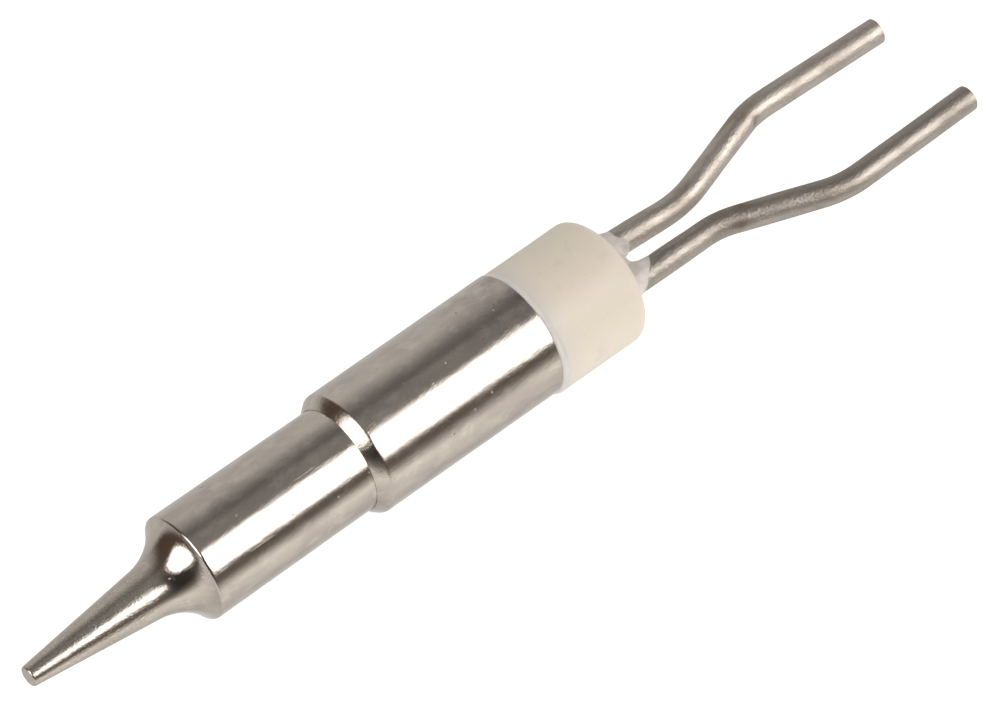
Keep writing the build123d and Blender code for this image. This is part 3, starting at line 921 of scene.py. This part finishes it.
# ---- studio ----
ROOM = [(-180, 0.58), (-150, 0.55), (-118, 0.50), (-90, 0.53), (-80, 0.44), (-70, 0.34),
        (-60, 0.22), (-50, 0.15), (-44, 0.15), (-37, 0.25), (-14, 0.235), (40, 0.20), (50, 0.165),
        (57, 0.14), (62, 0.21), (75, 0.59), (84, 0.92), (96, 0.83), (120, 0.70), (131, 0.58),
        (150, 0.575), (165, 0.72), (180, 0.58)]
SOFTBOX = 3.0
SOFTBOX_FROM = -6.0
SOFTBOX_TO = 41.3
SOFTBOX_TAPER = 45.0                # how fast its edges close in towards the nose, in degrees
FRONT_BOX = 3.2
FRONT_BOX_TURN = 61.0               # degrees from square to the barrel towards the nose
FRONT_BOX_TURN_HALF = 23.5
FRONT_BOX_SIDE = -0.30
FRONT_BOX_SIDE_HALF = 0.30
BROWN = (0.87, 0.78, 0.72)          # tint of the room just below the long softbox
DARK_HIGH = (0.088, 0.062, 0.050)   # the dark room ahead is brown on one side and black below
DARK_LOW = (0.036, 0.034, 0.034)
FILL_SHARE = 0.6                    # how much of the room's contrast reaches matt surfaces
FILL_LEVEL = 0.33


def studio_world():
    """Soft studio light by direction: grey room, long softbox, front softbox, bright table."""
    world = bpy.data.worlds.new("studio")
    bpy.context.scene.world = world
    t = Tree(world)
    toward = t.add("ShaderNodeTexCoord").outputs["Generated"]
    lifted = (0, -math.sin(VIEW_TURN), math.cos(VIEW_TURN))
    side = (0, -math.cos(VIEW_TURN), -math.sin(VIEW_TURN))
    along = t.dot(toward, (1, 0, 0))
    height = t.dot(toward, (0, 0, 1))
    turn = t.math("ARCTAN2", t.dot(toward, side), t.dot(toward, lifted))
    degrees = t.math("MULTIPLY", turn, 180 / math.pi)
    room = t.curve(degrees, ROOM, -180, 180)
    low = t.math("MULTIPLY", t.step(degrees, 36, 44), t.step(degrees, 78, 60))
    tinted = t.add("ShaderNodeVectorMath", operation="MULTIPLY")
    t.put(tinted.inputs[0], room)
    tinted.inputs[1].default_value = BROWN
    room = t.mix(low, room, tinted.outputs["Vector"])
    front = t.math("MULTIPLY", t.step(along, 0.0, -0.5), t.step(height, -0.06, 0.12))
    ahead = t.math("ARCTAN2", t.math("MULTIPLY", along, -1.0), t.dot(toward, lifted))
    ahead = t.math("MULTIPLY", ahead, 180 / math.pi)
    across = t.dot(toward, side)
    dark = t.mix(t.step(across, -0.45, -0.05), DARK_HIGH, DARK_LOW)
    light = t.mix(front, room, dark)
    short = t.math("SUBTRACT", math.sin(VIEW_TILT), t.math("MAXIMUM", along, 0.05), clamp=True)
    upper = t.math("MULTIPLY_ADD", short, -SOFTBOX_TAPER, SOFTBOX_TO)
    lower = t.math("MULTIPLY_ADD", short, SOFTBOX_TAPER, SOFTBOX_FROM)
    above = t.step(t.math("SUBTRACT", upper, degrees), -3.0, 3.0)
    below = t.step(t.math("SUBTRACT", degrees, lower), -3.0, 3.0)
    ends = t.step(along, -0.27, -0.13)
    box = t.math("MULTIPLY", t.math("MULTIPLY", above, below), ends)
    light = t.mix(box, light, (SOFTBOX,) * 3)
    turned = t.math("MULTIPLY_ADD", ahead, 1 / FRONT_BOX_TURN_HALF,
                    -FRONT_BOX_TURN / FRONT_BOX_TURN_HALF)
    aside = t.math("MULTIPLY_ADD", across, 1 / FRONT_BOX_SIDE_HALF,
                   -FRONT_BOX_SIDE / FRONT_BOX_SIDE_HALF)
    rounded = t.math("ADD", *(t.math("POWER", t.math("ABSOLUTE", part), 3.0)
                              for part in (turned, aside)))
    light = t.mix(t.step(rounded, 1.15, 0.85), light, (FRONT_BOX,) * 3)
    matt = t.add("ShaderNodeLightPath").outputs["Is Diffuse Ray"]
    softened = t.mix(FILL_SHARE, (FILL_LEVEL / (1 - FILL_SHARE),) * 3, light)
    light = t.mix(matt, light, softened)
    background = t.add("ShaderNodeBackground")
    t.put(background.inputs["Color"], light)
    background.inputs["Strength"].default_value = 1.0
    output = t.add("ShaderNodeOutputWorld")
    t.put(output.inputs["Surface"], background.outputs[0])


FLOOR_GLOW = 0.80
FLOOR_WHITE = (0.55, 0.55, 0.55)
FLOOR_SIZE = 3.0


def add_floor():
    """White light table under the object and a white surround behind it."""
    material, t = new_material("table_white")
    t.surface(Base_Color=FLOOR_WHITE, Roughness=0.9, Specular_IOR_Level=0.0,
              Emission_Color=(1.0, 1.0, 1.0), Emission_Strength=FLOOR_GLOW)
    level = CAD_BOX[0][2]
    half = FLOOR_SIZE / 2 / MM
    z = level / MM
    corners = [(-half, -half, z), (half, -half, z), (half, half, z), (-half, half, z)]
    floor = link_mesh("floor", corners, [(0, 1, 2, 3)], material, smooth=False)
    floor.visible_glossy = False
    surround_material, s = new_material("surround_white")
    s.surface(Base_Color=FLOOR_WHITE, Roughness=0.9, Specular_IOR_Level=0.0,
              Emission_Color=(1.0, 1.0, 1.0), Emission_Strength=1.0)
    steps = 48
    rim = [(half * math.cos(2 * math.pi * i / steps), half * math.sin(2 * math.pi * i / steps))
           for i in range(steps)]
    vertices = [(x, y, z + h) for h in (-half * 0.1, half) for x, y in rim]
    faces = [(i, (i + 1) % steps, steps + (i + 1) % steps, steps + i) for i in range(steps)]
    surround = link_mesh("surround", vertices, faces, surround_material)
    surround.visible_glossy = False
    surround.visible_diffuse = False
    surround.visible_shadow = False
    surround.visible_transmission = False


# ---- assembly ----
def settle(piece, slot, *nodes):
    """Rides a finished piece on the body in place of its CAD nodes."""
    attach(piece, "root")
    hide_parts(*nodes)


def dress_inner_nodes():
    """Gives the sealed inner parts, which stay as CAD, their materials."""
    finishes = {
        "inner_ceramic": ["front_insulator_disc", "insulating_liner", "heater_core",
                          "rear_insulator_disc", "terminal_block"],
        "inner_cement": ["potting_cement"],
        "resistance_alloy": ["resistance_coil", "return_wire"],
        "ferrule_nickel": ["crimp_ferrule_far", "crimp_ferrule_near"],
    }
    makers = {"inner_ceramic": inner_ceramic, "inner_cement": inner_cement,
              "resistance_alloy": resistance_alloy, "ferrule_nickel": ferrule_nickel}
    for finish, names in finishes.items():
        material = makers[finish]()
        for name in names:
            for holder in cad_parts[name].material_slots:
                holder.material = material


def build():
    plate = nickel_plate()
    wire = lead_nickel()
    cement = seal_cement()
    settle(soldering_bit(plate), "nickel_plate", "soldering_bit")
    settle(barrel_sleeve(plate), "nickel_plate", "barrel_sleeve")
    settle(ceramic_base(base_ceramic()), "base_ceramic", "ceramic_base")
    settle(joint_cement(cement), "seal_cement", "base_joint_cement")
    settle(lead_cement(cement), "seal_cement", "lead_seal_far", "lead_seal_near")
    far = lead_pin("lead_far", 1, FAR_LEAD, FAR_BENDS, FAR_SWELLS, FAR_DENTS, FAR_HEATS, wire)
    settle(far, "lead_nickel", "lead_pin_far")
    near = lead_pin("lead_near", -1, NEAR_LEAD, NEAR_BENDS, NEAR_SWELLS, NEAR_DENTS, NEAR_HEATS, wire)
    settle(near, "lead_nickel", "lead_pin_near")
    dress_inner_nodes()


add_camera()
studio_world()
add_floor()
build()
bpy.context.scene.view_settings.view_transform = "Standard"
